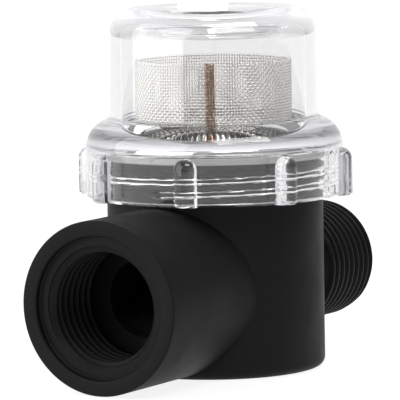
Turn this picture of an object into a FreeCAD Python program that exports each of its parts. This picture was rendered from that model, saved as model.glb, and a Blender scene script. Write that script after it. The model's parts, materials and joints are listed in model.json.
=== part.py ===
"""Sea water strainer with half-inch pipe ports.

Frame: +Z up, origin at the middle of the flat base, under the barrel's axis. The two ports lie on
one line along X: the female inlet at -X, the male outlet at +X. All lengths are in millimetres.
"""
import FreeCAD, Part

import math
import os

from FreeCAD import Rotation, Vector

# ---- pipe ports -------------------------------------------------------------
INLET_LENGTH = 39.5          # barrel axis to the face of the female port
INLET_RADIUS = 14.75         # outside of the female port, whose underside is level with the base
ENTRY_RADIUS = 12.1          # lead-in recess at the mouth
ENTRY_DEPTH = 1.2
LEAD_IN = 1.3                # chamfer from the recess into the thread
FEMALE_BORE_RADIUS = 9.3     # crests of the female half-inch thread
FEMALE_BORE_DEPTH = 14.5     # from the face of the port
INLET_HOLE_RADIUS = 6.5      # through the end wall of the thread
OUTLET_LENGTH = 39.5         # barrel axis to the end of the male port
MALE_THREAD_RADIUS = 10.5    # crests of the male half-inch thread
MALE_THREAD_LENGTH = 16.6
MALE_NECK_RADIUS = 9.3       # run-out groove between the thread and the barrel
MALE_CHAMFER = 1.0
OUTLET_BORE_RADIUS = 7.0

# ---- barrel -----------------------------------------------------------------
BARREL_RADIUS = 18.8
BARREL_HEIGHT = 31.0         # up to the neck that carries the cover
BARREL_WALL = 2.4
BASE_THICKNESS = 4.0
BASE_ROUND = 1.5
NECK_STEP = 0.7              # how far the neck stands inside the barrel
NECK_HEIGHT = 5.9
NECK_CHAMFER = 0.4

# ---- cover thread, right-handed, on the neck and in the collar ----------------------
THREAD_PITCH = 2.2
THREAD_DEPTH = 1.0           # of each ridge, from its root to its crest
THREAD_ROOT = 1.2            # width of a ridge at its root
THREAD_CREST = 0.5           # width of a ridge at its crest
THREAD_CLEARANCE = 0.3       # between the crest of one ridge and the root of the other
THREAD_RUN = 4.0             # height that each ridge climbs
THREAD_INSET = 0.3           # between the barrel and the neck's ridge
THREAD_BITE = 0.3            # how deep a ridge's foot reaches into its cylinder

# ---- inlet well and screen ------------------------------------------------------
WELL_RADIUS = 12.5           # bore that rises into the screen
WELL_WALL = 2.2
WELL_HEIGHT = 32.0           # top of the well above the base
SEAT_DEPTH = 3.0             # how deep the screen stands in the well's rim
SEAT_CLEARANCE = 0.2
SCREEN_RADIUS = 13.4         # middle of the woven wall
SCREEN_THICKNESS = 0.4
SCREEN_LENGTH = 24.7
SCREEN_SEAM_WIDTH = 1.8
SCREEN_SEAM_ANGLE = 208.0    # degrees about Z, from +X
SCREEN_COLUMNS = 16
SCREEN_ROWS = 6
SCREEN_RIDGE = 0.8           # solid width left between two gaps
BRIDGE_WALL = 2.0            # round the inlet passage where it crosses to the well

# ---- cover ------------------------------------------------------------------
COLLAR_OVERLAP = 0.9         # how far the collar reaches down over the barrel
COLLAR_WALL = 3.0            # from the thread's root to the outside
COLLAR_HEIGHT = 8.4
SKIRT_DEPTH = 1.2            # plain mouth of the collar under its thread
SHOULDER_HEIGHT = 5.0
SHOULDER_WIDTH = 4.1         # from the collar's outside in to the dome
DOME_TAPER = 0.3             # how far the dome draws in from its foot to its top
DOME_HEIGHT = 19.3           # from the shoulder to the flat top
DOME_WALL = 2.2
DOME_ROUND = 5.0             # outer corner between wall and top
BOSS_RADIUS = 11.9           # ring under the top that centres the screen
BOSS_WALL = 1.9
BOSS_DEPTH = 3.0
RIB_COUNT = 8
RIB_RADIUS = 2.0
RIB_HEIGHT = 8.3
FIRST_RIB_ANGLE = 17.3       # degrees about Z, from +X

# ---- gasket -----------------------------------------------------------------
GASKET_THICKNESS = 1.7
GASKET_WALL = 2.7
GASKET_CLEARANCE = 0.3       # between the gasket and the collar round it

# ---- places that follow from the sizes above ------------------------------------
PORT_HEIGHT = INLET_RADIUS
RIM_HEIGHT = BARREL_HEIGHT + NECK_HEIGHT
NECK_RADIUS = BARREL_RADIUS - NECK_STEP
COLLAR_BORE_RADIUS = NECK_RADIUS + THREAD_DEPTH + THREAD_CLEARANCE
COLLAR_RADIUS = COLLAR_BORE_RADIUS + COLLAR_WALL
DOME_BASE_RADIUS = COLLAR_RADIUS - SHOULDER_WIDTH
DOME_TOP_RADIUS = DOME_BASE_RADIUS - DOME_TAPER
CHAMBER_RADIUS = BARREL_RADIUS - BARREL_WALL
WELL_OUTSIDE = WELL_RADIUS + WELL_WALL
SEAT_HEIGHT = WELL_HEIGHT - SEAT_DEPTH
SEAT_RADIUS = SCREEN_RADIUS + SCREEN_THICKNESS / 2 + SEAT_CLEARANCE
NECK_THREAD_START = BARREL_HEIGHT + THREAD_INSET + THREAD_ROOT / 2
LEDGE_HEIGHT = RIM_HEIGHT + GASKET_THICKNESS
COLLAR_BOTTOM = BARREL_HEIGHT - COLLAR_OVERLAP
COLLAR_TOP = COLLAR_BOTTOM + COLLAR_HEIGHT
SHOULDER_TOP = COLLAR_TOP + SHOULDER_HEIGHT
COVER_TOP = SHOULDER_TOP + DOME_HEIGHT
CEILING = COVER_TOP - DOME_WALL
SLACK = 1.0                  # how far a cutting tool runs past the face it opens


def outline(steps):
    """Closed wire in the XZ half plane. A step is a point, or (middle, end) of an arc."""
    edges = []
    start = steps[0]
    for step in list(steps[1:]) + [steps[0]]:
        here = Vector(start[0], 0, start[1])
        if isinstance(step[0], tuple):
            middle, end = step
            through = Vector(middle[0], 0, middle[1])
            edges.append(Part.Arc(here, through, Vector(end[0], 0, end[1])).toShape())
        else:
            end = step
            edges.append(Part.LineSegment(here, Vector(end[0], 0, end[1])).toShape())
        start = end
    return Part.Wire(edges)


def turned(steps):
    """Solid of revolution about Z from an outline given as (radius, height) steps."""
    return Part.Face(outline(steps)).revolve(Vector(0, 0, 0), Vector(0, 0, 1), 360)


def along_x(shape, side):
    """Lay a piece that was turned about Z on the pipe line, pointing to -X or +X."""
    turn = Rotation(Vector(0, 1, 0), 90 * side)
    return shape.transformed(FreeCAD.Placement(Vector(0, 0, PORT_HEIGHT), turn).toMatrix())


def arc_step(centre, radius, first, last):
    """Arc step about a centre, between two angles in degrees measured from +radius to +height."""
    def at(angle):
        turn = math.radians(angle)
        return (centre[0] + radius * math.cos(turn), centre[1] + radius * math.sin(turn))
    return (at((first + last) / 2), at(last))


def thread_ridge(root_radius, crest_radius, start_height, start_angle):
    """Right-handed ridge with sloping flanks, carried up a helix; it bites into its cylinder."""
    helix = Part.makeHelix(THREAD_PITCH, THREAD_RUN, root_radius)
    outwards = math.copysign(1, crest_radius - root_radius)
    foot_radius = root_radius - outwards * THREAD_BITE
    upper = [(foot_radius, THREAD_ROOT / 2), (root_radius, THREAD_ROOT / 2), (crest_radius, THREAD_CREST / 2)]
    corners = upper + [(radius, -half) for radius, half in reversed(upper)]
    section = Part.makePolygon([Vector(r, 0, outwards * z) for r, z in corners + corners[:1]])
    ridge = Part.Wire(helix).makePipeShell([section], True, True)
    ridge.rotate(Vector(0, 0, 0), Vector(0, 0, 1), start_angle)
    ridge.translate(Vector(0, 0, start_height))
    return ridge


def neck_thread():
    return thread_ridge(NECK_RADIUS, NECK_RADIUS + THREAD_DEPTH, NECK_THREAD_START, 0)


def collar_thread():
    """Ridge in the collar, half a pitch above the neck's ridge at every angle."""
    start = COLLAR_BOTTOM + SKIRT_DEPTH + THREAD_ROOT / 2
    ahead = (start - NECK_THREAD_START - THREAD_PITCH / 2) / THREAD_PITCH * 360
    crest = NECK_RADIUS + THREAD_CLEARANCE
    return thread_ridge(COLLAR_BORE_RADIUS, crest, start, ahead)


def barrel():
    """Barrel with its rounded foot and the neck that the cover screws on."""
    foot = (BARREL_RADIUS - BASE_ROUND, BASE_ROUND)
    return turned([
        (0, 0),
        (BARREL_RADIUS - BASE_ROUND, 0),
        arc_step(foot, BASE_ROUND, -90, 0),
        (BARREL_RADIUS, BARREL_HEIGHT),
        (NECK_RADIUS, BARREL_HEIGHT),
        (NECK_RADIUS, RIM_HEIGHT - NECK_CHAMFER),
        (NECK_RADIUS - NECK_CHAMFER, RIM_HEIGHT),
        (0, RIM_HEIGHT),
    ])


def inlet_port():
    return along_x(Part.makeCylinder(INLET_RADIUS, INLET_LENGTH), -1)


def outlet_port():
    """Male stub: a thread's outside, a run-out groove and a chamfered end."""
    thread_start = OUTLET_LENGTH - MALE_THREAD_LENGTH
    step = MALE_THREAD_RADIUS - MALE_NECK_RADIUS
    return along_x(turned([
        (0, 0),
        (MALE_NECK_RADIUS, 0),
        (MALE_NECK_RADIUS, thread_start),
        (MALE_THREAD_RADIUS, thread_start + step),
        (MALE_THREAD_RADIUS, OUTLET_LENGTH - MALE_CHAMFER),
        (MALE_THREAD_RADIUS - MALE_CHAMFER, OUTLET_LENGTH),
        (0, OUTLET_LENGTH),
    ]), 1)


def inlet_passage():
    """Entry recess, lead-in, thread bore and the hole that runs on into the well."""
    return along_x(turned([
        (0, 0),
        (INLET_HOLE_RADIUS, 0),
        (INLET_HOLE_RADIUS, INLET_LENGTH - FEMALE_BORE_DEPTH),
        (FEMALE_BORE_RADIUS, INLET_LENGTH - FEMALE_BORE_DEPTH),
        (FEMALE_BORE_RADIUS, INLET_LENGTH - ENTRY_DEPTH - LEAD_IN),
        (FEMALE_BORE_RADIUS + LEAD_IN, INLET_LENGTH - ENTRY_DEPTH),
        (ENTRY_RADIUS, INLET_LENGTH - ENTRY_DEPTH),
        (ENTRY_RADIUS, INLET_LENGTH + SLACK),
        (0, INLET_LENGTH + SLACK),
    ]), -1)


def chamber():
    """Ring-shaped space round the well, bridged where the inlet passage crosses it."""
    height = RIM_HEIGHT + SLACK - BASE_THICKNESS
    floor = Vector(0, 0, BASE_THICKNESS)
    space = Part.makeCylinder(CHAMBER_RADIUS, height, floor)
    well = Part.makeCylinder(WELL_OUTSIDE, WELL_HEIGHT - BASE_THICKNESS, floor)
    half = INLET_HOLE_RADIUS + BRIDGE_WALL
    bridge = along_x(Part.makeCylinder(half, BARREL_RADIUS), -1)
    foot = Part.makeBox(BARREL_RADIUS, 2 * half, PORT_HEIGHT, Vector(-BARREL_RADIUS, -half, 0))
    return space.cut(well.fuse([bridge, foot]))


def well_bore():
    """Bore of the well with the wider seat for the screen at its rim."""
    return turned([
        (0, BASE_THICKNESS),
        (WELL_RADIUS, BASE_THICKNESS),
        (WELL_RADIUS, SEAT_HEIGHT),
        (SEAT_RADIUS, SEAT_HEIGHT),
        (SEAT_RADIUS, RIM_HEIGHT),
        (0, RIM_HEIGHT),
    ])


def outlet_passage():
    """Bore of the male port, open into the ring-shaped space but not into the well."""
    start = (WELL_RADIUS + WELL_OUTSIDE) / 2
    bore = along_x(Part.makeCylinder(OUTLET_BORE_RADIUS, OUTLET_LENGTH + SLACK), 1)
    return bore.cut(Part.makeCylinder(WELL_OUTSIDE, WELL_HEIGHT))


def strainer_body():
    solid = barrel().fuse([inlet_port(), outlet_port(), neck_thread()])
    return solid.cut([chamber(), well_bore(), inlet_passage(), outlet_passage()]).removeSplitter()


def shoulder_centre():
    """Centre of the arc that starts upright at the collar and ends at the dome's foot."""
    run = COLLAR_RADIUS - DOME_BASE_RADIUS
    radius = (run ** 2 + SHOULDER_HEIGHT ** 2) / (2 * run)
    return (COLLAR_RADIUS - radius, COLLAR_TOP), radius


def cover_shell():
    """Dome, shoulder and collar in one turned wall, open at the bottom."""
    centre, radius = shoulder_centre()
    end = math.degrees(math.atan2(SHOULDER_HEIGHT, DOME_BASE_RADIUS - centre[0]))
    inner_base = DOME_BASE_RADIUS - DOME_WALL
    inner_top = DOME_TOP_RADIUS - DOME_WALL
    corner = DOME_ROUND - DOME_WALL
    crown = (DOME_TOP_RADIUS - DOME_ROUND, COVER_TOP - DOME_ROUND)
    return turned([
        (COLLAR_BORE_RADIUS, COLLAR_BOTTOM),
        (COLLAR_RADIUS, COLLAR_BOTTOM),
        (COLLAR_RADIUS, COLLAR_TOP),
        arc_step(centre, radius, 0, end),
        (DOME_TOP_RADIUS, COVER_TOP - DOME_ROUND),
        arc_step(crown, DOME_ROUND, 0, 90),
        (0, COVER_TOP),
        (0, CEILING),
        (BOSS_RADIUS - BOSS_WALL, CEILING),
        (BOSS_RADIUS - BOSS_WALL, CEILING - BOSS_DEPTH),
        (BOSS_RADIUS, CEILING - BOSS_DEPTH),
        (BOSS_RADIUS, CEILING),
        (inner_top - corner, CEILING),
        arc_step((inner_top - corner, CEILING - corner), corner, 90, 0),
        (inner_base, LEDGE_HEIGHT),
        (COLLAR_BORE_RADIUS, LEDGE_HEIGHT),
    ])


def grip_rib():
    """Half-round rib on the collar with a ball-shaped top."""
    foot = Vector(COLLAR_RADIUS, 0, COLLAR_BOTTOM)
    straight = RIB_HEIGHT - RIB_RADIUS
    post = Part.makeCylinder(RIB_RADIUS, straight, foot)
    ball = Part.makeSphere(RIB_RADIUS, foot + Vector(0, 0, straight), Vector(1, 0, 0))
    return post.fuse(ball)


def clear_cover():
    ribs = []
    for number in range(RIB_COUNT):
        rib = grip_rib()
        rib.rotate(Vector(0, 0, 0), Vector(0, 0, 1), FIRST_RIB_ANGLE + number * 360 / RIB_COUNT)
        ribs.append(rib)
    return cover_shell().fuse(ribs).removeSplitter().fuse(collar_thread())


def cover_gasket():
    outside = COLLAR_BORE_RADIUS - GASKET_CLEARANCE
    return turned([
        (outside - GASKET_WALL, RIM_HEIGHT),
        (outside, RIM_HEIGHT),
        (outside, RIM_HEIGHT + GASKET_THICKNESS),
        (outside - GASKET_WALL, RIM_HEIGHT + GASKET_THICKNESS),
    ])


def screen():
    """Woven wall as upright and round ridges with gaps between, and a plain lapped seam."""
    inside = SCREEN_RADIUS - SCREEN_THICKNESS / 2
    outside = SCREEN_RADIUS + SCREEN_THICKNESS / 2
    wall = turned([
        (inside, SEAT_HEIGHT),
        (outside, SEAT_HEIGHT),
        (outside, SEAT_HEIGHT + SCREEN_LENGTH),
        (inside, SEAT_HEIGHT + SCREEN_LENGTH),
    ])
    seam = math.degrees(SCREEN_SEAM_WIDTH / SCREEN_RADIUS)
    step = (360 - seam) / SCREEN_COLUMNS
    rise = SCREEN_LENGTH / SCREEN_ROWS
    width = math.radians(step) * SCREEN_RADIUS - SCREEN_RIDGE
    height = rise - SCREEN_RIDGE
    gaps = []
    for row in range(SCREEN_ROWS):
        foot = SEAT_HEIGHT + row * rise + SCREEN_RIDGE / 2
        corner = Vector(inside - SLACK, -width / 2, foot)
        for column in range(SCREEN_COLUMNS):
            gap = Part.makeBox(SCREEN_THICKNESS + 2 * SLACK, width, height, corner)
            turn = SCREEN_SEAM_ANGLE + seam / 2 + (column + 0.5) * step
            gap.rotate(Vector(0, 0, 0), Vector(0, 0, 1), turn)
            gaps.append(gap)
    return wall.cut(gaps)


NODES = {
    "strainer_body": strainer_body,
    "screen": screen,
    "cover_gasket": cover_gasket,
    "clear_cover": clear_cover,
}

os.makedirs("parts", exist_ok=True)
for name, make in NODES.items():
    shape = make()
    shape.exportStep("parts/" + name + ".step")
    print(name, len(shape.Solids), "solid", round(shape.Volume, 1), "mm3", shape.isValid())
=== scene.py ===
# %% [markdown]
# # Sea water strainer with a clear screw-on cover
# The strainer is four real pieces: a black moulded body, a woven steel screen, a silicone gasket
# and a clear cover with a ribbed collar. The CAD frame already holds their size and place, so
# each piece here is built on the frame's own numbers and only adds what the eye needs: thread
# ridges, wires, rounded edges and finishes.

import json
import math

import bmesh
import bpy
import numpy as np
from mathutils import Matrix, Vector


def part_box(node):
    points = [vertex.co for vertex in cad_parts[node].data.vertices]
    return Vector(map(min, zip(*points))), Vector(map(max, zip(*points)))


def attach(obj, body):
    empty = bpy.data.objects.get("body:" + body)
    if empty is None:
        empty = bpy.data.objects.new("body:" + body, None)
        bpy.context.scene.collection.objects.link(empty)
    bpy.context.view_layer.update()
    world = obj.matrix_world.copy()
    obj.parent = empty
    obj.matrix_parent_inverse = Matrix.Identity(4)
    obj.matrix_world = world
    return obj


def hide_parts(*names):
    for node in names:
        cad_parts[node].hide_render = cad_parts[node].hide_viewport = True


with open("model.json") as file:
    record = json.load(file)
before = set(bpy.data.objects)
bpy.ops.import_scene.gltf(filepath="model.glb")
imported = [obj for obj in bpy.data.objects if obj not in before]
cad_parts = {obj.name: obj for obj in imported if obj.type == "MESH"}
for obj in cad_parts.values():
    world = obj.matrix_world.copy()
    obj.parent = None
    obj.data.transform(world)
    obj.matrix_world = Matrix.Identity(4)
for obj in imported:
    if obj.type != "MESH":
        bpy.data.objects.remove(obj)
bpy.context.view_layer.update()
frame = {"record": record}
MM = 0.001

# %% [markdown]
# ## Sizes from the frame
# A mount says where a pipe thread sits and how wide it is, and a node's box gives its height.
# Everything else is a wall, a round or a pitch, named once. All lengths are millimetres until a
# mesh is made. The solids' own meshes could be dressed instead, but they hold no edge rounds and
# no threads, so finer pieces are made from the same numbers.

# %% Sizes that the frame gives
mounts = {mount["name"]: mount for mount in frame["record"]["mounts"]}


def box_mm(node):
    """Lowest and highest corner of a CAD node, in millimetres."""
    low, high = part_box(node)
    return np.array(low) / MM, np.array(high) / MM


body_low, body_high = box_mm("strainer_body")
screen_low, screen_high = box_mm("screen")
gasket_low, gasket_high = box_mm("cover_gasket")
cover_low, cover_high = box_mm("clear_cover")
PORT_HEIGHT = mounts["inlet_thread"]["pos_m"][2] / MM
INLET_LENGTH, OUTLET_LENGTH = -body_low[0], body_high[0]
INLET_RADIUS = PORT_HEIGHT               # the port's underside is level with the base
PIPE_CREST_IN = mounts["inlet_thread"]["dims"]["r_mm"]
RIM_HEIGHT = body_high[2]
GASKET_TOP = gasket_high[2]
COVER_BOTTOM, COVER_TOP = cover_low[2], cover_high[2]
print("port axis at", round(PORT_HEIGHT, 2), "mm, rim at", round(RIM_HEIGHT, 2), "mm")

# %% Walls, rounds and pitches of the body
PIPE_PITCH = 25.4 / 14                   # half-inch pipe thread, 14 to the inch
PIPE_DEPTH = 1.16
PIPE_ROOT, PIPE_CREST = 0.96 * PIPE_PITCH, 0.18 * PIPE_PITCH   # widths of a ridge
ENTRY_RADIUS, ENTRY_DEPTH = 12.1, 1.2    # recess at the mouth of the female port
INLET_THREAD_END = 25.0                  # end wall of the female thread, from the barrel's axis
INLET_HOLE_RADIUS = 6.5
OUTLET_BORE_RADIUS, OUTLET_NECK_RADIUS = 7.0, 9.3
OUTLET_PLAIN_END, OUTLET_THREAD_START = 18.0, 22.9
BARREL_RADIUS, BARREL_HEIGHT, BARREL_ROUND = 18.8, 31.0, 1.5
CHAMBER_RADIUS, FLOOR_THICKNESS = 16.4, 4.0
NECK_RADIUS = 18.1
WELL_RADIUS, WELL_OUTSIDE, WELL_HEIGHT = 12.5, 14.7, 32.0
SEAT_RADIUS = 13.8                       # recess in the well's rim that the screen stands in
BRIDGE_RADIUS = 8.5                      # round the inlet passage where it crosses to the well
EDGE, FINE_EDGE = 0.35, 0.2              # small rounds of outer and of inner moulded edges
OVERRUN = 1.0                            # how far a core runs past the face that it opens
print("barrel wall", round(BARREL_RADIUS - CHAMBER_RADIUS, 2), "mm, pipe pitch", round(PIPE_PITCH, 3), "mm")

# %% Walls, rounds and pitches of the cover
COVER_PITCH, RIDGE_DEPTH = 2.2, 1.0      # the screw between the neck and the collar
RIDGE_ROOT, RIDGE_CREST, RIDGE_CLIMB = 1.2, 0.5, 4.0
NECK_RIDGE_START = COLLAR_RIDGE_START = 31.9
COLLAR_BORE, COLLAR_RADIUS, COLLAR_TOP = 19.4, 22.4, 38.5
LINE_DEPTH = 0.2                         # the fine line between the collar and the shoulder
SHOULDER_TOP = 43.5
DOME_FOOT_RADIUS, DOME_TOP_RADIUS = 18.3, 18.0
DOME_WALL, WALL_TAPER = 2.2, 0.3         # at the foot, and how much thinner it is at the top
DOME_ROUND = 5.0
BOSS_RADIUS, BOSS_WALL, BOSS_DEPTH = 11.9, 1.9, 3.0
BOSS_FILLET, BOSS_ROUND = 0.6, 0.9
RIB_COUNT, FIRST_RIB = 8, 17.3           # the first rib's angle about Z, in degrees from +X
RIB_RADIUS, RIB_TOP = 2.0, 38.4
RELIEF_RISE, RELIEF_WIDTH = 1.0, 1.8     # shallow cone inside the ledge, clear of the gasket
print("collar wall", round(COLLAR_RADIUS - COLLAR_BORE, 2), "mm, dome wall", DOME_WALL, "mm")

# %% [markdown]
# ## Shapes from arrays
# A turned piece is an outline carried round an axis. The outline is a list of radius and height
# pairs; going round gives a grid of points, and neighbouring points make the faces. A thread is
# the same grid with its radius raised wherever a point lies on the ridge's helix, so it needs no
# separate piece. Grids are worked out for all points at once.

# %% Outlines
def arc(centre, radius, first, last, steps=8):
    """Points on a circle: centre plus radius times (cos, sin), between two angles in degrees."""
    turn = np.radians(np.linspace(first, last, steps + 1))
    return [(centre[0] + radius * c, centre[1] + radius * s) for c, s in zip(np.cos(turn), np.sin(turn))]


def run(start, end, spacing):
    """Evenly spaced points on a straight line, start + (end - start) t, both ends included."""
    start, end = np.array(start, float), np.array(end, float)
    count = max(1, int(round(np.linalg.norm(end - start) / spacing)))
    return [tuple(start + (end - start) * i / count) for i in range(count + 1)]


print("a quarter round of 1 mm:", [tuple(round(v, 2) for v in point) for point in arc((0, 0), 1, 0, 90, 2)])

# %% Grids to meshes
def mesh_object(name, points, faces):
    """Mesh object from points in millimetres and faces as rows of point numbers."""
    mesh = bpy.data.meshes.new(name)
    mesh.from_pydata((np.asarray(points) * MM).tolist(), [], np.asarray(faces).tolist())
    mesh.update()
    thing = bpy.data.objects.new(name, mesh)
    bpy.context.scene.collection.objects.link(thing)
    return thing


def clean(thing, outward=True):
    """Merges points that fell together, drops faces with no area and turns the rest outwards."""
    merge = 1e-4 * MM
    work = bmesh.new()
    work.from_mesh(thing.data)
    bmesh.ops.remove_doubles(work, verts=work.verts, dist=merge)
    bmesh.ops.dissolve_degenerate(work, edges=work.edges, dist=merge)
    bmesh.ops.delete(work, geom=[edge for edge in work.edges if not edge.link_faces], context="EDGES")
    if outward:
        bmesh.ops.recalc_face_normals(work, faces=work.faces)
    work.to_mesh(thing.data)
    work.free()
    return thing


def grid_object(name, grid, loop_rows=True):
    """Closed mesh from a grid: point (row, column) makes a face with its three next neighbours.

    The columns always join up; the last row joins the first one when loop_rows is set.
    """
    rows, columns = grid.shape[:2]
    number = np.arange(rows * columns).reshape(rows, columns)
    here = number if loop_rows else number[:-1]
    above = np.roll(number, -1, 0) if loop_rows else number[1:]
    faces = np.stack([here, np.roll(here, -1, 1), np.roll(above, -1, 1), above], -1)
    return clean(mesh_object(name, grid.reshape(-1, 3), faces.reshape(-1, 4)))


# %% Turned pieces, with or without a thread
SEGMENTS, PIPE_SEGMENTS = 256, 192       # columns round a barrel and round a pipe thread
ON_WALL = 0.01                           # a point this near a radius in mm lies on that wall


def on_ridge(height, angle, pitch, start, climb, root, crest):
    """How far up its flank a point lies on a right-handed ridge: 0 beside it, 1 on its crest.

    The ridge starts at a height and angle 0 and climbs one pitch a turn. A point belongs to the
    nearest turn; its distance from that turn's middle, against the two widths, gives the flank.
    The ridge sinks into the wall over the first and last few degrees.
    """
    fade = 12.0                          # degrees over which the ridge rises from the wall
    turns = angle / (2 * np.pi)
    nearest = np.round((height - start) / pitch - turns)
    away = np.abs(height - start - (nearest + turns) * pitch)
    flank = np.clip((root / 2 - away) / (root / 2 - crest / 2), 0, 1)
    flank = flank * flank * (3 - 2 * flank)
    travelled = (nearest + turns) * 360
    ends = np.minimum(travelled, climb / pitch * 360 - travelled) / fade
    return flank * np.clip(ends, 0, 1)


def turned(name, outline, ridge=None, segments=SEGMENTS):
    """Solid of revolution: (r, h) goes to (r cos a, r sin a, h) all round; ridge adds to r."""
    outline = np.array(outline, float)
    angle = np.linspace(0, 2 * np.pi, segments, endpoint=False)
    height = np.repeat(outline[:, 1:], segments, 1)
    radius = np.repeat(outline[:, :1], segments, 1)
    if ridge is not None:
        radius = radius + ridge(radius, height, angle[None, :])
    grid = np.stack([radius * np.cos(angle), radius * np.sin(angle), height], -1)
    return grid_object(name, grid, loop_rows=outline[0][0] > 0 or outline[-1][0] > 0)


def lay_along_x(thing, side):
    """Quarter turn about Y, then up to the ports' axis, so that a piece points to +X or -X."""
    turn = Matrix.Rotation(math.radians(90 * side), 4, "Y")
    thing.data.transform(Matrix.Translation((0, 0, PORT_HEIGHT * MM)) @ turn)
    return thing


# %% Joining and cutting solids
def combine(target, tool, how):
    """Adds a tool to a solid or cuts it away, and deletes the tool."""
    modifier = target.modifiers.new("combine", "BOOLEAN")
    modifier.operation, modifier.solver, modifier.object = how, "MANIFOLD", tool
    evaluated = target.evaluated_get(bpy.context.evaluated_depsgraph_get())
    result = bpy.data.meshes.new_from_object(evaluated)
    target.modifiers.clear()
    target.data = result
    bpy.data.objects.remove(tool)


def finish_surface(thing, crease=32.0):
    """Smooth shading with edges sharper than the crease, in degrees, kept sharp."""
    clean(thing, outward=False)
    thing.data.shade_smooth()
    thing.data.set_sharp_from_angle(angle=math.radians(crease))
    thing.data.materials.clear()
    work = bmesh.new()
    work.from_mesh(thing.data)
    triangles = sum(len(face.verts) - 2 for face in work.faces)
    open_edges = sum(not edge.is_manifold for edge in work.edges)
    volume = round(work.calc_volume() / MM ** 3)
    work.free()
    print(thing.name, triangles, "triangles,", open_edges, "open edges,", volume, "mm3")
    return thing


# %% [markdown]
# ## The moulded body
# One piece of glass-filled nylon: a barrel, a female port and a male port. It could be modelled
# as one skin, but its forms are all turned, so it is built as the mould sees it: outside forms
# joined, then the cores cut out. The barrel comes first, with the neck's screw in its own grid.

# %% Barrel with its neck thread
NECK_ROWS = 0.1                          # row spacing in mm, fine enough for the ridge's flanks


def neck_ridge(radius, height, angle):
    """Full ridge depth times the flank, on the neck's wall and nowhere else."""
    lift = on_ridge(height, angle, COVER_PITCH, NECK_RIDGE_START, RIDGE_CLIMB, RIDGE_ROOT, RIDGE_CREST)
    return np.where(np.abs(radius - NECK_RADIUS) < ON_WALL, lift * RIDGE_DEPTH, 0)


barrel_outline = (
    [(0, 0)]
    + arc((BARREL_RADIUS - BARREL_ROUND, BARREL_ROUND), BARREL_ROUND, -90, 0)
    + arc((BARREL_RADIUS - EDGE, BARREL_HEIGHT - EDGE), EDGE, 0, 90, 4)
    + run((NECK_RADIUS, BARREL_HEIGHT), (NECK_RADIUS, RIM_HEIGHT - EDGE), NECK_ROWS)
    + arc((NECK_RADIUS - EDGE, RIM_HEIGHT - EDGE), EDGE, 0, 90, 4)
    + [(0, RIM_HEIGHT)]
)
body = turned("body_moulding", barrel_outline, neck_ridge)
print("barrel", len(barrel_outline), "outline points,", len(body.data.vertices), "vertices")

# %% [markdown]
# ### The two ports
# The near port is a plain thick tube; its thread is cut later, from inside. The far port is a
# stub whose half-inch pipe thread stands outside it. A thread could be a swept ridge joined to
# the tube, but a raised grid has no seam and keeps its flanks clean.

# %% Ports
PIPE_ROWS = 0.09                         # row spacing in mm along a pipe thread
THREAD_LEAD = 0.6                        # fine rows start this far before the thread
TIP_STAND = 0.25                         # how far the thread still stands out at the very tip

port = lay_along_x(turned("port", [(0, 0), (INLET_RADIUS, 0)]
                          + arc((INLET_RADIUS - EDGE, INLET_LENGTH - EDGE), EDGE, 0, 90, 5)
                          + [(0, INLET_LENGTH)]), -1)


def male_ridge(radius, height, angle):
    """Thread outside the stub: the flank, held below a chamfer at the tip and a slope at the neck."""
    climb = OUTLET_LENGTH - OUTLET_THREAD_START + PIPE_PITCH
    lift = on_ridge(height, angle, PIPE_PITCH, OUTLET_THREAD_START, climb, PIPE_ROOT, PIPE_CREST)
    slope = np.minimum(height - OUTLET_THREAD_START, OUTLET_LENGTH - height + TIP_STAND)
    top = np.minimum(lift * PIPE_DEPTH, np.maximum(slope, 0))
    return np.where(np.abs(radius - OUTLET_NECK_RADIUS) < ON_WALL, top, 0)


stub_outline = (
    [(0, 0), (OUTLET_NECK_RADIUS, 0), (OUTLET_NECK_RADIUS, OUTLET_PLAIN_END)]
    + run((OUTLET_NECK_RADIUS, OUTLET_THREAD_START - THREAD_LEAD),
          (OUTLET_NECK_RADIUS, OUTLET_LENGTH), PIPE_ROWS)
    + [(0, OUTLET_LENGTH)]
)
stub = lay_along_x(turned("stub", stub_outline, male_ridge, PIPE_SEGMENTS), 1)
print("threads on the stub:", round((OUTLET_LENGTH - OUTLET_THREAD_START) / PIPE_PITCH, 1))

# %% [markdown]
# ### The cores
# Inside, a well rises into the screen and is fed by the inlet; the ring-shaped chamber round it
# drains to the outlet. Each hollow is the core that the mould pulls out, and the well and the
# bridge that carries the inlet passage to it are put back in between.

# %% Chamber, outlet, well, bridge and bore
chamber = turned("chamber", [(0, FLOOR_THICKNESS), (CHAMBER_RADIUS, FLOOR_THICKNESS),
                             (CHAMBER_RADIUS, RIM_HEIGHT - EDGE)]
                 + arc((CHAMBER_RADIUS + EDGE, RIM_HEIGHT - EDGE), EDGE, 180, 90, 4)
                 + [(CHAMBER_RADIUS + EDGE, RIM_HEIGHT + OVERRUN), (0, RIM_HEIGHT + OVERRUN)])
outlet = lay_along_x(turned("outlet", [(0, 0), (OUTLET_BORE_RADIUS, 0),
                                       (OUTLET_BORE_RADIUS, OUTLET_LENGTH - EDGE)]
                            + arc((OUTLET_BORE_RADIUS + EDGE, OUTLET_LENGTH - EDGE), EDGE, 180, 90, 4)
                            + [(OUTLET_BORE_RADIUS + EDGE, OUTLET_LENGTH + OVERRUN),
                               (0, OUTLET_LENGTH + OVERRUN)]), 1)
well = turned("well", [(0, FLOOR_THICKNESS - OVERRUN), (WELL_OUTSIDE, FLOOR_THICKNESS - OVERRUN)]
              + arc((WELL_OUTSIDE - FINE_EDGE, WELL_HEIGHT - FINE_EDGE), FINE_EDGE, 0, 90, 3)
              + [(0, WELL_HEIGHT)])
bridge = lay_along_x(turned("bridge", [(0, 0), (BRIDGE_RADIUS, 0),
                                       (BRIDGE_RADIUS, CHAMBER_RADIUS + OVERRUN),
                                       (0, CHAMBER_RADIUS + OVERRUN)]), -1)
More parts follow.
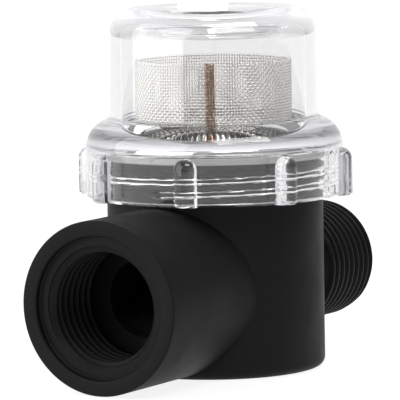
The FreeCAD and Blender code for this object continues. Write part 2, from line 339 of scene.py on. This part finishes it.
bore = turned("bore", [(0, FLOOR_THICKNESS), (WELL_RADIUS, FLOOR_THICKNESS), (WELL_RADIUS, screen_low[2]),
                       (SEAT_RADIUS, screen_low[2]), (SEAT_RADIUS, WELL_HEIGHT - FINE_EDGE),
                       (SEAT_RADIUS + FINE_EDGE, WELL_HEIGHT + OVERRUN), (0, WELL_HEIGHT + OVERRUN)])
print("screen stands", round(WELL_HEIGHT - screen_low[2], 2), "mm deep in the well")

# %% Core of the threaded inlet
RUN_IN, MOUTH_FADE = 1.2, 1.0            # where the thread starts and how it ends, in mm
PIPE_ROOT_IN = PIPE_CREST_IN + PIPE_DEPTH


def female_ridge(radius, height, angle):
    """Thread inside the port: its crests reach inwards from the root, and fade at the mouth."""
    mouth = INLET_LENGTH - ENTRY_DEPTH
    lift = on_ridge(height, angle, PIPE_PITCH, INLET_THREAD_END + RUN_IN, mouth - INLET_THREAD_END,
                    PIPE_ROOT, PIPE_CREST)
    lift = lift * np.clip((mouth - height) / MOUTH_FADE, 0, 1)
    return np.where(np.abs(radius - PIPE_ROOT_IN) < ON_WALL, -lift * PIPE_DEPTH, 0)


inlet_outline = (
    [(0, 0), (INLET_HOLE_RADIUS, 0), (INLET_HOLE_RADIUS, INLET_THREAD_END - FINE_EDGE),
     (INLET_HOLE_RADIUS + FINE_EDGE, INLET_THREAD_END)]
    + run((PIPE_ROOT_IN, INLET_THREAD_END), (PIPE_ROOT_IN, INLET_LENGTH - ENTRY_DEPTH), PIPE_ROWS)
    + [(ENTRY_RADIUS - FINE_EDGE, INLET_LENGTH - ENTRY_DEPTH),
       (ENTRY_RADIUS, INLET_LENGTH - ENTRY_DEPTH + FINE_EDGE)]
    + arc((ENTRY_RADIUS + EDGE, INLET_LENGTH - EDGE), EDGE, 180, 90, 4)
    + [(ENTRY_RADIUS + EDGE, INLET_LENGTH + OVERRUN), (0, INLET_LENGTH + OVERRUN)]
)
inlet = lay_along_x(turned("inlet", inlet_outline, female_ridge, PIPE_SEGMENTS), -1)
print("inlet thread", round(INLET_LENGTH - ENTRY_DEPTH - INLET_THREAD_END, 2), "mm long")

# %% [markdown]
# ### One body
# The tools are closed solids, so the manifold solver joins and cuts them without a gap. The order
# follows the hollows: ports on, chamber and outlet out, then the well and the bridge back in, and
# last the two ways that run through them.

# %% Put the body together
for tool, how in ((port, "UNION"), (stub, "UNION"), (chamber, "DIFFERENCE"), (outlet, "DIFFERENCE"),
                  (well, "UNION"), (bridge, "UNION"), (bore, "DIFFERENCE"), (inlet, "DIFFERENCE")):
    combine(body, tool, how)
finish_surface(body)

# %% [markdown]
# ## The clear cover
# Dome, shoulder, collar and ribs are one moulding, so they are one grid. Its rows follow the
# outline from the skirt up the outside, over the top and back down the inside. Its columns go
# round; on the collar they swing out over the eight half-round ribs. Separate ribs would be
# easier, but clear plastic shows every face that is buried in it.

# %% Plan of the ribbed collar
RIB_POINTS, GAP_POINTS = 24, 24          # faces over one rib and in the gap to the next


def ribbed_rings(radius, rib):
    """Angles and radii of rings that half-round ribs stand on; a row of each for every ring.

    A rib is a circle about a point of the ring, x = radius + rib cos t and y = rib sin t, from
    where it leaves the ring to where it meets it again. The gap keeps the ring's own radius.
    """
    half = 2 * np.arcsin(rib / (2 * radius))
    swing = np.linspace(-1, 1, RIB_POINTS + 1) * (np.pi / 2 + half / 2)
    x, y = radius + rib * np.cos(swing), rib * np.sin(swing)
    gap = half + (2 * np.pi / RIB_COUNT - 2 * half) * np.arange(1, GAP_POINTS) / GAP_POINTS
    one = np.hstack([np.arctan2(y, x), gap])
    size = np.hstack([np.hypot(x, y), np.broadcast_to(radius, gap.shape)])
    starts = math.radians(FIRST_RIB) + 2 * np.pi * np.arange(RIB_COUNT) / RIB_COUNT
    angle = (starts[:, None] + one[:, None, :]).reshape(len(one), -1)
    return angle, np.tile(size, RIB_COUNT)


def rib_reach(height):
    """Radius of a rib's section: full up to its ball-shaped top, then that of the ball.

    In the ball it is the square root of the rib's radius squared less the height over the ball's
    middle squared.
    """
    over = np.maximum(height - (RIB_TOP - RIB_RADIUS), 0)
    return np.sqrt(np.maximum(RIB_RADIUS ** 2 - over ** 2, 0))


print("ribs stand out", RIB_RADIUS, "mm, one every", 360 / RIB_COUNT, "degrees")

# %% [markdown]
# ### The cover's section
# The shoulder is one arc that leaves the collar upright and meets the dome in a tight fillet.
# Under the flat top hangs a short ring, whose rounded edges show as two bright lines. The dome
# draws in a little on its way up while its bore stands straight, so the wall is thinner at the
# top, and that bends what lies behind it. The section is kept as two lists, outside and inside,
# because the ribs stand on the outside only.

# %% Outside of the cover
SHOULDER_FILLET, FILLET_RISE = 0.45, 0.55
LINE_LOW, LINE_FOOT, LINE_HIGH = 0.15, 0.05, 0.1   # heights of the fine line about the collar's top
TOP_RING = 6.0                           # one ring in the flat top, so that no face is very long

shoulder_run = COLLAR_RADIUS - DOME_FOOT_RADIUS
shoulder_rise = SHOULDER_TOP - COLLAR_TOP
shoulder_radius = (shoulder_run ** 2 + shoulder_rise ** 2) / (2 * shoulder_run)
shoulder_end = math.degrees(math.atan2(shoulder_rise, shoulder_radius - shoulder_run))
ball_heights = RIB_TOP - RIB_RADIUS + RIB_RADIUS * np.sin(np.radians(np.linspace(0, 90, 13)))
collar_side = [(COLLAR_RADIUS, h) for h in [COVER_BOTTOM + EDGE, COVER_BOTTOM + 3, *ball_heights]]
outside = (
    [(COLLAR_RADIUS - EDGE, COVER_BOTTOM)] + collar_side
    + [(COLLAR_RADIUS, COLLAR_TOP - LINE_LOW), (COLLAR_RADIUS - LINE_DEPTH, COLLAR_TOP - LINE_FOOT),
       (COLLAR_RADIUS - LINE_DEPTH, COLLAR_TOP + LINE_HIGH)]
    + arc((COLLAR_RADIUS - shoulder_radius, COLLAR_TOP), shoulder_radius, 3, shoulder_end - 4, 20)
    + arc((DOME_FOOT_RADIUS + SHOULDER_FILLET, SHOULDER_TOP + FILLET_RISE), SHOULDER_FILLET, 255, 180, 5)
    + arc((DOME_TOP_RADIUS - DOME_ROUND, COVER_TOP - DOME_ROUND), DOME_ROUND, 0, 90, 18)
    + [(TOP_RING, COVER_TOP), (0, COVER_TOP)]
)
print("shoulder arc of", round(shoulder_radius, 2), "mm over", round(shoulder_end), "degrees")

# %% Inside of the cover
FOOT_ROUND, FOOT_RISE = 0.2, 0.15        # where the dome's inner wall turns into the relief

inner_round = DOME_ROUND - DOME_WALL
inner_foot, inner_top = DOME_FOOT_RADIUS - DOME_WALL, DOME_TOP_RADIUS - DOME_WALL + WALL_TAPER
ceiling = COVER_TOP - DOME_WALL
boss_end = ceiling - BOSS_DEPTH
boss_inside = BOSS_RADIUS - BOSS_WALL
inside = (
    [(0, ceiling)]
    + arc((boss_inside - BOSS_FILLET, ceiling - BOSS_FILLET), BOSS_FILLET, 90, 0, 5)
    + arc((boss_inside + BOSS_ROUND, boss_end + BOSS_ROUND), BOSS_ROUND, 180, 270, 6)
    + arc((BOSS_RADIUS - BOSS_ROUND, boss_end + BOSS_ROUND), BOSS_ROUND, 270, 360, 6)
    + arc((BOSS_RADIUS + BOSS_FILLET, ceiling - BOSS_FILLET), BOSS_FILLET, 180, 90, 5)
    + arc((inner_top - inner_round, ceiling - inner_round), inner_round, 90, 0, 12)
    + arc((inner_foot + FOOT_ROUND, GASKET_TOP + RELIEF_RISE + FOOT_RISE), FOOT_ROUND, 180, 235, 4)
    + [(inner_foot + RELIEF_WIDTH, GASKET_TOP)]
    + arc((COLLAR_BORE - FINE_EDGE, GASKET_TOP - FINE_EDGE), FINE_EDGE, 90, 0, 4)
    + run((COLLAR_BORE, RIM_HEIGHT), (COLLAR_BORE, COVER_BOTTOM + EDGE), NECK_ROWS)
    + [(COLLAR_BORE + EDGE, COVER_BOTTOM)]
)
print("outline points:", len(outside), "outside,", len(inside), "inside")

# %% [markdown]
# ### One grid for the cover
# Every row is a ring of the same number of points, so rows with ribs and rows without them join
# face to face. The ridge inside the collar narrows the ring where its helix passes.

# %% Make the cover
RIB_MOUTH = 0.3 * EDGE                   # the ribs' feet draw in by this at the very bottom
TINY = 1e-6                              # keeps a ring on the axis open for the division by its radius


def collar_ridge(height, angle):
    """The collar's ridge runs half a pitch above the neck's, so the two mesh."""
    ahead = (COLLAR_RIDGE_START - NECK_RIDGE_START - COVER_PITCH / 2) / COVER_PITCH
    angle = (angle - ahead * 2 * np.pi) % (2 * np.pi)
    return on_ridge(height, angle, COVER_PITCH, COLLAR_RIDGE_START, RIDGE_CLIMB, RIDGE_ROOT, RIDGE_CREST)


def cover_grid():
    """Rows of rings (r cos a, r sin a, h): ribbed on the collar, narrowed by the ridge in its bore."""
    radius, height = np.hsplit(np.array(outside + inside), 2)
    row = np.arange(len(radius))[:, None]
    reach = np.where(row <= len(collar_side), rib_reach(height), 0)
    angle, ring = ribbed_rings(np.maximum(radius, TINY), np.minimum(reach, radius))
    ring = np.where((row == 0) & (ring > radius + TINY), ring - RIB_MOUTH, ring)
    in_bore = np.abs(radius - COLLAR_BORE) < ON_WALL
    ring = np.where(in_bore, ring - RIDGE_DEPTH * collar_ridge(height, angle), ring)
    return np.stack([ring * np.cos(angle), ring * np.sin(angle), np.broadcast_to(height, ring.shape)], -1)


cover = finish_surface(grid_object("cover_moulding", cover_grid()))

# %% [markdown]
# ## Gasket
# A flat silicone ring with soft corners, held under the cover's ledge. A plain washer would do
# for the size, but its sharp corners would catch hard lines of light. A hair's gap keeps its face
# off the clear ledge, because two faces in one plane flicker where light passes both.

# %% Make the gasket
GASKET_WALL, GASKET_GAP = 2.7, 0.12
SOFT_LOW, SOFT_HIGH = 0.3, 0.4           # rounds of its lower and upper corners


def ring_section(inner, outer, bottom, top):
    """Rectangle with rounded corners, as four quarter arcs joined by straight sides."""
    return (arc((inner + SOFT_LOW, bottom + SOFT_LOW), SOFT_LOW, 180, 270, 5)
            + arc((outer - SOFT_LOW, bottom + SOFT_LOW), SOFT_LOW, 270, 360, 5)
            + arc((outer - SOFT_HIGH, top - SOFT_HIGH), SOFT_HIGH, 0, 90, 5)
            + arc((inner + SOFT_HIGH, top - SOFT_HIGH), SOFT_HIGH, 90, 180, 5))


gasket_outer = gasket_high[0]
gasket = finish_surface(turned("gasket_ring", ring_section(
    gasket_outer - GASKET_WALL, gasket_outer, gasket_low[2], GASKET_TOP - GASKET_GAP)))

# %% [markdown]
# ## Woven screen
# The screen is plain-woven wire, about fifty wires to the inch. A picture of wires on a plain
# sheet would look flat behind the dome, so each wire is real. Each upright wire passes in front
# of one round wire and behind the next, which is a cosine in its radius; the round wires do the
# opposite. Every wire is a six-sided tube carried along its own wavy path.

# %% Wires as tubes
WIRE_RADIUS, MESH_PITCH, WIRE_SIDES = 0.118, 0.5, 6
SCREEN_RADIUS = screen_high[0] - 0.2     # middle of the woven wall


def tubes(name, paths, closed):
    """Tubes along many paths at once, one row of points a path.

    At each point a ring stands square to the path: point + r (cos t out + sin t side), where
    side is square to the path and to the outward direction, and out is square to both.
    """
    if closed:
        ahead = np.roll(paths, -1, 1) - np.roll(paths, 1, 1)
    else:
        ahead = np.gradient(paths, axis=1)
    ahead /= np.linalg.norm(ahead, axis=-1, keepdims=True)
    out = paths * [1, 1, 0]
    out /= np.linalg.norm(out, axis=-1, keepdims=True)
    side = np.cross(ahead, out)
    side /= np.linalg.norm(side, axis=-1, keepdims=True)
    out = np.cross(side, ahead)
    turn = np.linspace(0, 2 * np.pi, WIRE_SIDES, endpoint=False)[:, None]
    spokes = np.cos(turn) * out[:, :, None] + np.sin(turn) * side[:, :, None]
    rings = paths[:, :, None] + WIRE_RADIUS * spokes
    number = np.arange(rings[..., 0].size).reshape(rings.shape[:3])
    here = number if closed else number[:, :-1]
    then = np.roll(number, -1, 1) if closed else number[:, 1:]
    faces = np.stack([here, np.roll(here, -1, 2), np.roll(then, -1, 2), then], -1).reshape(-1, 4)
    thing = mesh_object(name, rings.reshape(-1, 3), faces)
    if not closed:
        work = bmesh.new()
        work.from_mesh(thing.data)
        ends = [edge for edge in work.edges if edge.is_boundary]
        bmesh.ops.holes_fill(work, edges=ends, sides=WIRE_SIDES)
        work.to_mesh(thing.data)
        work.free()
    thing.data.shade_smooth()
    print(name, sum(len(face.vertices) - 2 for face in thing.data.polygons), "triangles")
    return thing


# %% [markdown]
# ### The weave
# Two steps along a wire make one crossing: at the crossing it stands in or out, and halfway to
# the next it is back in the middle, so a wire needs few points. Neighbours sway in turn.

# %% Weave the screen
SWAY = 0.92 * WIRE_RADIUS                # how far a wire's middle swings in and out
RIM_GAP = 0.35                           # from the screen's ends to its first and last round wire
upright_count = 2 * int(round(np.pi * SCREEN_RADIUS / MESH_PITCH))
screen_length = screen_high[2] - screen_low[2]
round_count = int(round(screen_length / MESH_PITCH)) - 1
round_share = np.arange(round_count) / (round_count - 1)
round_heights = screen_low[2] + RIM_GAP + (screen_length - 2 * RIM_GAP) * round_share


def in_turn(count):
    """Column of +1 and -1 by turns, so that each wire sways against its neighbours."""
    return (1 - 2 * (np.arange(count) % 2))[:, None]


steps = np.arange(2 * round_count + 1)
up_heights = np.interp(steps, [0, *(2 * np.arange(round_count) + 1), 2 * round_count],
                       [screen_low[2], *round_heights, screen_high[2]])
up_angle = 2 * np.pi * np.arange(upright_count) / upright_count
up_sway = np.where(steps % 2 == 1, np.cos(np.pi * (steps - 1) / 2), 0)
up_radius = SCREEN_RADIUS + SWAY * up_sway * in_turn(upright_count)
uprights = tubes("screen_uprights", np.stack([
    up_radius * np.cos(up_angle)[:, None], up_radius * np.sin(up_angle)[:, None],
    np.broadcast_to(up_heights, up_radius.shape)], -1), closed=False)

ring_steps = np.arange(2 * upright_count)
ring_angle = np.pi * ring_steps / upright_count
ring_sway = np.where(ring_steps % 2 == 0, np.cos(np.pi * ring_steps / 2), 0)
ring_radius = SCREEN_RADIUS - SWAY * ring_sway * in_turn(round_count)
rounds = tubes("screen_rounds", np.stack([
    ring_radius * np.cos(ring_angle), ring_radius * np.sin(ring_angle),
    np.broadcast_to(round_heights[:, None], ring_radius.shape)], -1), closed=True)

# %% [markdown]
# ### Lapped seam
# The sheet's two ends overlap by about 3 mm and are spot-welded. The second layer sits just inside
# the first, half a gap aside, so hardly any light comes through the lap. One sheet could spiral
# past its own end, but a short second layer is simpler and looks alike from outside. Its wires
# show only through the first layer's gaps, so they may run straight.

# %% Second layer in the lap
SEAM_ANGLE, LAP_ANGLE = math.radians(208.0), math.radians(204.6)   # weld line, middle of the lap
LAP_WIDTH, LAP_DEPTH = 2.8, 0.45
UP_POINTS, ACROSS_POINTS = 3, 5
lap_radius = SCREEN_RADIUS - LAP_DEPTH


def lap_paths(angle, height):
    """Paths at the lap's radius from grids of angles and heights: (r cos a, r sin a, h)."""
    angle, height = np.broadcast_arrays(angle, height)
    return np.stack([lap_radius * np.cos(angle), lap_radius * np.sin(angle), height], -1)


def over_lap(count):
    """Evenly spaced angles from one side of the lap to the other."""
    return LAP_ANGLE + LAP_WIDTH / SCREEN_RADIUS * np.linspace(-0.5, 0.5, count)


lap_heights = np.linspace(screen_low[2], screen_high[2], UP_POINTS)
between = round_heights[:-1] + (round_heights[1] - round_heights[0]) / 2
lap_uprights = tubes("lap_uprights", lap_paths(
    over_lap(int(round(LAP_WIDTH / MESH_PITCH)) + 1)[:, None], lap_heights), closed=False)
lap_rounds = tubes("lap_rounds", lap_paths(over_lap(ACROSS_POINTS), between[:, None]), closed=False)

# %% [markdown]
# ## Finishes
# Every colour is an sRGB hex value turned to linear light. Patterns read Object coordinates, so
# they stay put on the piece, and their scale comes from a real size in millimetres.

# %% Colour and node helpers
def linear(colour):
    """Linear RGBA from an sRGB hex string: v / 12.92 near black, else ((v + 0.055) / 1.055) ** 2.4."""
    parts = np.array([int(colour[i:i + 2], 16) for i in (1, 3, 5)]) / 255
    light = np.where(parts <= 0.04045, parts / 12.92, ((parts + 0.055) / 1.055) ** 2.4)
    return (*light.tolist(), 1.0)


def add(material, kind, settings=None, links=None):
    """Adds a node to a material or the world.

    Settings name its properties, its input values or a ramp's colour stops; links name its sources.
    """
    node = material.node_tree.nodes.new(kind)
    for name, value in (settings or {}).items():
        if name == "stops":
            ramp = node.color_ramp.elements
            ramp[0].position, ramp[0].color = value[0]
            ramp[1].position, ramp[1].color = value[-1]
            for position, colour in value[1:-1]:
                ramp.new(position).color = colour
        elif isinstance(name, str) and hasattr(node, name):
            setattr(node, name, value)
        else:
            node.inputs[name].default_value = value
    for name, source in (links or {}).items():
        material.node_tree.links.new(source, node.inputs[name])
    return node


def new_material(name):
    """Material whose node tree is empty."""
    material = bpy.data.materials.new(name)
    material.use_nodes = True
    material.node_tree.nodes.clear()
    return material


def finish_material(material, shader, volume=None):
    """Joins the shader, and what fills the piece if anything does, to the material's output."""
    links = {"Surface": shader.outputs["BSDF"]}
    if volume:
        links["Volume"] = volume.outputs["Volume"]
    add(material, "ShaderNodeOutputMaterial", links=links)
    return material


print("mid grey #808080 is", round(linear("#808080")[0], 3), "in linear light")

# %% [markdown]
# ### Black glass-filled nylon, injection moulded
# Nearly black with a dull sheen. The mould's spark texture is a fine grain, and the filler makes
# faint cloudy patches a few millimetres wide. The real grain is about 0.15 mm; it is drawn twice
# as coarse, so that it shows. To the eye it softens every highlight into a grey bloom. One flat
# dark colour would do from afar; the grain and the clouds are what make it a moulding.

# %% Body finish
GRAIN, GRAIN_DEPTH, CLOUD = 0.30 * MM, 0.03 * MM, 9 * MM


def moulded_nylon():
    """Noise at the cloud's size shifts tone and roughness; noise at the grain's size is bump."""
    material = new_material("glass_filled_nylon_moulded")
    place = add(material, "ShaderNodeTexCoord").outputs["Object"]
    grain = add(material, "ShaderNodeTexNoise", {"Scale": 1 / GRAIN, "Detail": 3.0, "Roughness": 0.6},
                {"Vector": place})
    cloud = add(material, "ShaderNodeTexNoise", {"Scale": 1 / CLOUD, "Detail": 3.0, "Roughness": 0.55},
                {"Vector": place})
    tone = add(material, "ShaderNodeValToRGB",
               {"stops": [(0.3, linear("#09090a")), (0.7, linear("#0e0d10"))]},
               {"Fac": cloud.outputs["Fac"]})
    rough = add(material, "ShaderNodeMapRange",
                {"From Min": 0.3, "From Max": 0.7, "To Min": 0.46, "To Max": 0.6},
                {"Value": cloud.outputs["Fac"]})
    bump = add(material, "ShaderNodeBump", {"Strength": 0.25, "Distance": GRAIN_DEPTH},
               {"Height": grain.outputs["Fac"]})
    # The grain traps most of the mirror light, so the specular level is far below a polished face's.
    shader = add(material, "ShaderNodeBsdfPrincipled", {"IOR": 1.52, "Specular IOR Level": 0.13},
                 {"Base Color": tone.outputs["Color"], "Roughness": rough.outputs["Result"],
                  "Normal": bump.outputs["Normal"]})
    return finish_material(material, shader)


nylon = moulded_nylon()
print(nylon.name, "grain", GRAIN / MM, "mm, clouds", CLOUD / MM, "mm")

# %% [markdown]
# ### Clear polycarbonate, moulded and polished
# Colourless, with an index of 1.585. A cooling moulding keeps faint waves, several millimetres
# long. The real ones are a few micrometres deep; they are drawn deeper, so that the highlights
# wander a little. Thick plastic also swallows some light, so the walls read as grey where the eye
# looks along them. A tinted surface would grey every wall alike, while a weak absorbing volume
# greys only a long way through, and so gives the dome its outline on a white floor.
#
# Light in a solid ring like the shoulder mirrors many times before it leaves. The renderer stops
# following it after a few mirrors and calls the rest black. The material paints that light in: it
# glows the soft white that those lost rays would have found outside, and adds nothing to any
# other ray.

# %% Cover finish
WAVE, WAVE_DEPTH = 7 * MM, 0.05 * MM
MIRRORS_FOLLOWED, BOUNCES_FOLLOWED = 3.5, 11.5   # the next one would be dropped
PLASTIC_GREY = linear("#bcbcbe")
SWALLOWED = 62.0                         # a metre absorbs this times (1 - grey)


def clear_polycarbonate():
    """Smooth clear plastic with a grey volume, and a painted white glow for rays that are given up."""
    material = new_material("clear_polycarbonate_moulded")
    place = add(material, "ShaderNodeTexCoord").outputs["Object"]
    waves = add(material, "ShaderNodeTexNoise", {"Scale": 1 / WAVE, "Detail": 1.0}, {"Vector": place})
    bump = add(material, "ShaderNodeBump", {"Strength": 0.30, "Distance": WAVE_DEPTH},
               {"Height": waves.outputs["Fac"]})
    path = add(material, "ShaderNodeLightPath")
    mirrored = add(material, "ShaderNodeMath", {"operation": "GREATER_THAN", 1: MIRRORS_FOLLOWED},
                   {0: path.outputs["Glossy Depth"]})
    trapped = add(material, "ShaderNodeMath", {"operation": "MULTIPLY"},
                  {0: mirrored.outputs["Value"], 1: path.outputs["Is Glossy Ray"]})
    long_path = add(material, "ShaderNodeMath", {"operation": "GREATER_THAN", 1: BOUNCES_FOLLOWED},
                    {0: path.outputs["Ray Depth"]})
    # Painted light: a ray that is given up makes the plastic glow soft white instead of black.
    lost_ray_glow = add(material, "ShaderNodeMath", {"operation": "MAXIMUM"},
               {0: trapped.outputs["Value"], 1: long_path.outputs["Value"]})
    shader = add(material, "ShaderNodeBsdfPrincipled",
                 {"Base Color": linear("#fdfdfd"), "Roughness": 0.0, "IOR": 1.585,
                  "Transmission Weight": 1.0, "Emission Color": linear("#f6f6f8")},
                 {"Normal": bump.outputs["Normal"], "Emission Strength": lost_ray_glow.outputs["Value"]})
    depth = add(material, "ShaderNodeVolumeAbsorption", {"Color": PLASTIC_GREY, "Density": SWALLOWED})
    return finish_material(material, shader, depth)


polycarbonate = clear_polycarbonate()
passed = math.exp(-SWALLOWED * (1 - PLASTIC_GREY[1]) * DOME_WALL * MM)
print(polycarbonate.name, "passes", round(100 * passed), "% of the light that enters one dome wall")

# %% [markdown]
# ### Drawn stainless wire, woven
# Bright drawn wire, smooth enough that each wire carries its own thin highlight, which makes the
# weave sparkle. At the welded seam the heat has turned it straw and brown, in blotches two or
# three wires wide, which mark the lap as a darker streak. Stretched highlights could be asked of
# the shader, but real round wires stretch them by themselves.

# %% Screen finish
HEATED_CORE, HEATED_EDGE, BLOTCH = 0.6 * MM, 1.1 * MM, 0.6 * MM


def stainless_wire():
    """Turns the pattern so that +X points at the seam; the tint fades with distance from it."""
    material = new_material("stainless_wire_woven")
    place = add(material, "ShaderNodeTexCoord").outputs["Object"]
    seam = add(material, "ShaderNodeMapping", {"vector_type": "POINT", "Rotation": (0, 0, -SEAM_ANGLE)},
               {"Vector": place})
    split = add(material, "ShaderNodeSeparateXYZ", links={"Vector": seam.outputs["Vector"]})
    width = add(material, "ShaderNodeMath", {"operation": "ABSOLUTE"}, {0: split.outputs["Y"]})
    near = add(material, "ShaderNodeMapRange",
               {"From Min": HEATED_CORE, "From Max": HEATED_EDGE, "To Min": 1.0, "To Max": 0.0},
               {"Value": width.outputs["Value"]})
    front = add(material, "ShaderNodeMath", {"operation": "GREATER_THAN", 1: 0.0}, {0: split.outputs["X"]})
    heat = add(material, "ShaderNodeMath", {"operation": "MULTIPLY"},
               {0: near.outputs["Result"], 1: front.outputs["Value"]})
    blotch = add(material, "ShaderNodeTexNoise", {"Scale": 1 / BLOTCH, "Detail": 2.0}, {"Vector": place})
    tint = add(material, "ShaderNodeMath", {"operation": "MULTIPLY"},
               {0: heat.outputs["Value"], 1: blotch.outputs["Fac"]})
    colour = add(material, "ShaderNodeValToRGB",
                 {"stops": [(0.0, linear("#e8e6e3")), (0.28, linear("#dcd3c6")),
                            (0.44, linear("#b5977f")), (0.62, linear("#785c4c"))]},
                 {"Fac": tint.outputs["Value"]})
    shader = add(material, "ShaderNodeBsdfPrincipled", {"Metallic": 1.0, "Roughness": 0.16},
                 {"Base Color": colour.outputs["Color"]})
    return finish_material(material, shader)


steel = stainless_wire()
print(steel.name, "tinted over", 2 * HEATED_EDGE / MM, "mm at the seam")

# %% [markdown]
# ### Translucent silicone, moulded
# Milky rubber that lets a quarter of the light through. Its skin is satin, slightly uneven over
# a few millimetres, so behind the clear collar it reads as a soft pale band. Scattering inside it
# could be followed too, but in so thin a ring a share of plain transmission is enough.

# %% Gasket finish
SKIN = 3 * MM


def silicone():
    """Noise at the skin's size moves the roughness between 0.25 and 0.4."""
    material = new_material("silicone_moulded")
    place = add(material, "ShaderNodeTexCoord").outputs["Object"]
    skin = add(material, "ShaderNodeTexNoise", {"Scale": 1 / SKIN, "Detail": 2.0}, {"Vector": place})
    rough = add(material, "ShaderNodeMapRange",
                {"From Min": 0.3, "From Max": 0.7, "To Min": 0.25, "To Max": 0.4},
                {"Value": skin.outputs["Fac"]})
    shader = add(material, "ShaderNodeBsdfPrincipled",
                 {"Base Color": linear("#f6f6f5"), "IOR": 1.41, "Transmission Weight": 0.25},
                 {"Roughness": rough.outputs["Result"]})
    return finish_material(material, shader)


rubber = silicone()
print(rubber.name, "skin patches", SKIN / MM, "mm")

# %% [markdown]
# ## Into the frame
# Each piece rides on the body that carries it, so the gasket climbs with the screw and the cover
# turns on it. Each also says which CAD node it stands in for, and which material slot it fills.

# %% Give each piece its finish and its place in the frame
for part, material, body_name, node, slot in (
        (body, nylon, "body", "strainer_body", "black_nylon"),
        (uprights, steel, "body", "screen", "stainless_mesh"),
        (rounds, steel, "body", "screen", "stainless_mesh"),
        (lap_uprights, steel, "body", "screen", "stainless_mesh"),
        (lap_rounds, steel, "body", "screen", "stainless_mesh"),
        (gasket, rubber, "seal", "cover_gasket", "silicone"),
        (cover, polycarbonate, "cover", "clear_cover", "clear_polycarbonate")):
    part.data.materials.append(material)
    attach(part, body_name)
    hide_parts(node)
    print(part.name, "rides on", body_name)

# %% [markdown]
# ## Floor, light and camera
# Clear plastic is seen only by what it bends, so the stage matters as much as the finish. The
# floor glows like a light table: most of its white is its own light, so it is even on every side
# and the lamps leave only a faint shadow. A floor lit by lamps alone would be bright on one side
# and grey on the other, and the dome would be lost against it.

# %% Floor
FLOOR_REACH, FLOOR_DROP = 4000, 0.05     # a hair below the base, so the two never share a plane
corners = [(x * FLOOR_REACH, y * FLOOR_REACH, -FLOOR_DROP) for x, y in ((-1, -1), (1, -1), (1, 1), (-1, 1))]
floor = mesh_object("floor", corners, [(0, 1, 2, 3)])
pale = new_material("pale_floor")
floor_shader = add(pale, "ShaderNodeBsdfPrincipled",
                   {"Base Color": linear("#6c6c6c"), "Roughness": 0.7,
                    "Emission Color": linear("#ffffff"), "Emission Strength": 0.87})
floor.data.materials.append(finish_material(pale, floor_shader))
print("floor", 2 * FLOOR_REACH * MM, "m wide")

# %% [markdown]
# ### Lamps
# A wide soft box on the left brightens the near port's face and one side of the dome, and one
# above brings out its shoulder. A thin strip behind is what the flat top mirrors as one white
# bar. Small lamps would leave points of light; boxes leave broad soft ones. Each is set out by
# azimuth and elevation, as a viewer would be.

# %% Lamps
LAMP_AIM = Vector((0, 0, 0.03))


def direction(azimuth, elevation):
    """Unit vector towards a viewer: (sin a cos e, -cos a cos e, sin e), angles in degrees."""
    a, e = math.radians(azimuth), math.radians(elevation)
    return Vector((math.sin(a) * math.cos(e), -math.cos(a) * math.cos(e), math.sin(e)))


def soft_box(name, azimuth, elevation, distance, width, height, power):
    """Rectangular lamp in metres and watts that faces the middle of the strainer."""
    lamp = bpy.data.lights.new(name, "AREA")
    lamp.shape = "RECTANGLE"
    lamp.size, lamp.size_y, lamp.energy = width, height, power
    thing = bpy.data.objects.new(name, lamp)
    bpy.context.scene.collection.objects.link(thing)
    away = direction(azimuth, elevation)
    thing.location = away * distance + LAMP_AIM
    thing.rotation_euler = away.to_track_quat("Z", "Y").to_euler()
    print(name, power, "W")


soft_box("soft_box_left", -126, 22, 0.6, 0.8, 0.7, 3.6)
soft_box("soft_box_top", -25, 58, 0.8, 0.6, 0.3, 3.8)
soft_box("strip_light_back", 120.4, 16, 0.9, 0.021, 0.42, 0.07)

# %% [markdown]
# ### Sky
# The sky is bright behind the strainer, dark to the sides and dim in front. The dark band is
# what draws the grey edges of the dome and the ribs; a sky that is white all round hides them.

# %% Sky
VIEW_AZIMUTH, VIEW_ELEVATION, VIEW_DISTANCE = -59.62, 6.06, 0.677
SKY_TILT = -35                           # the sky's axis dips in front, so it is brightest high behind

world = bpy.data.worlds.new("studio")
bpy.context.scene.world = world
world.use_nodes = True
world.node_tree.nodes.clear()
look = add(world, "ShaderNodeTexCoord")
facing = add(world, "ShaderNodeVectorMath",
             {"operation": "DOT_PRODUCT", 1: direction(VIEW_AZIMUTH, SKY_TILT)},
             {0: look.outputs["Generated"]})
share = add(world, "ShaderNodeMapRange", {"From Min": -1.0, "From Max": 1.0},
            {"Value": facing.outputs["Value"]})
sky = add(world, "ShaderNodeValToRGB",
          {"stops": [(0.12, (0.9, 0.9, 0.91, 1)), (0.30, (0.2, 0.2, 0.205, 1)),
                     (0.55, (0.42, 0.42, 0.43, 1))]},
          {"Fac": share.outputs["Result"]})
glow = add(world, "ShaderNodeBackground", {"Strength": 1.0}, {"Color": sky.outputs["Color"]})
add(world, "ShaderNodeOutputWorld", links={"Surface": glow.outputs["Background"]})
print("sky stops:", [round(stop.position, 2) for stop in sky.color_ramp.elements])

# %% [markdown]
# ### Camera
# A long lens from a little above, on the inlet's side and 30 degrees off the pipe line, so that
# the near port, the collar's thread and the far port all show.

# %% Camera
AIM = Vector((-1.59, 2.13, 29.08)) * MM
VIEW_ROLL = -0.96
camera_data = bpy.data.cameras.new("camera")
camera_data.sensor_width, camera_data.lens = 36.0, 349.9
camera = bpy.data.objects.new("camera", camera_data)
bpy.context.scene.collection.objects.link(camera)
away = direction(VIEW_AZIMUTH, VIEW_ELEVATION)
camera.location = AIM + away * VIEW_DISTANCE
turn = away.to_track_quat("Z", "Y").to_matrix() @ Matrix.Rotation(math.radians(VIEW_ROLL), 3, "Z")
camera.rotation_euler = turn.to_euler()
camera_data.clip_start, camera_data.clip_end = 0.01, 20
bpy.context.scene.camera = camera
bpy.context.scene.view_settings.view_transform = "Standard"
print("camera at", [round(v, 3) for v in camera.location], "m")
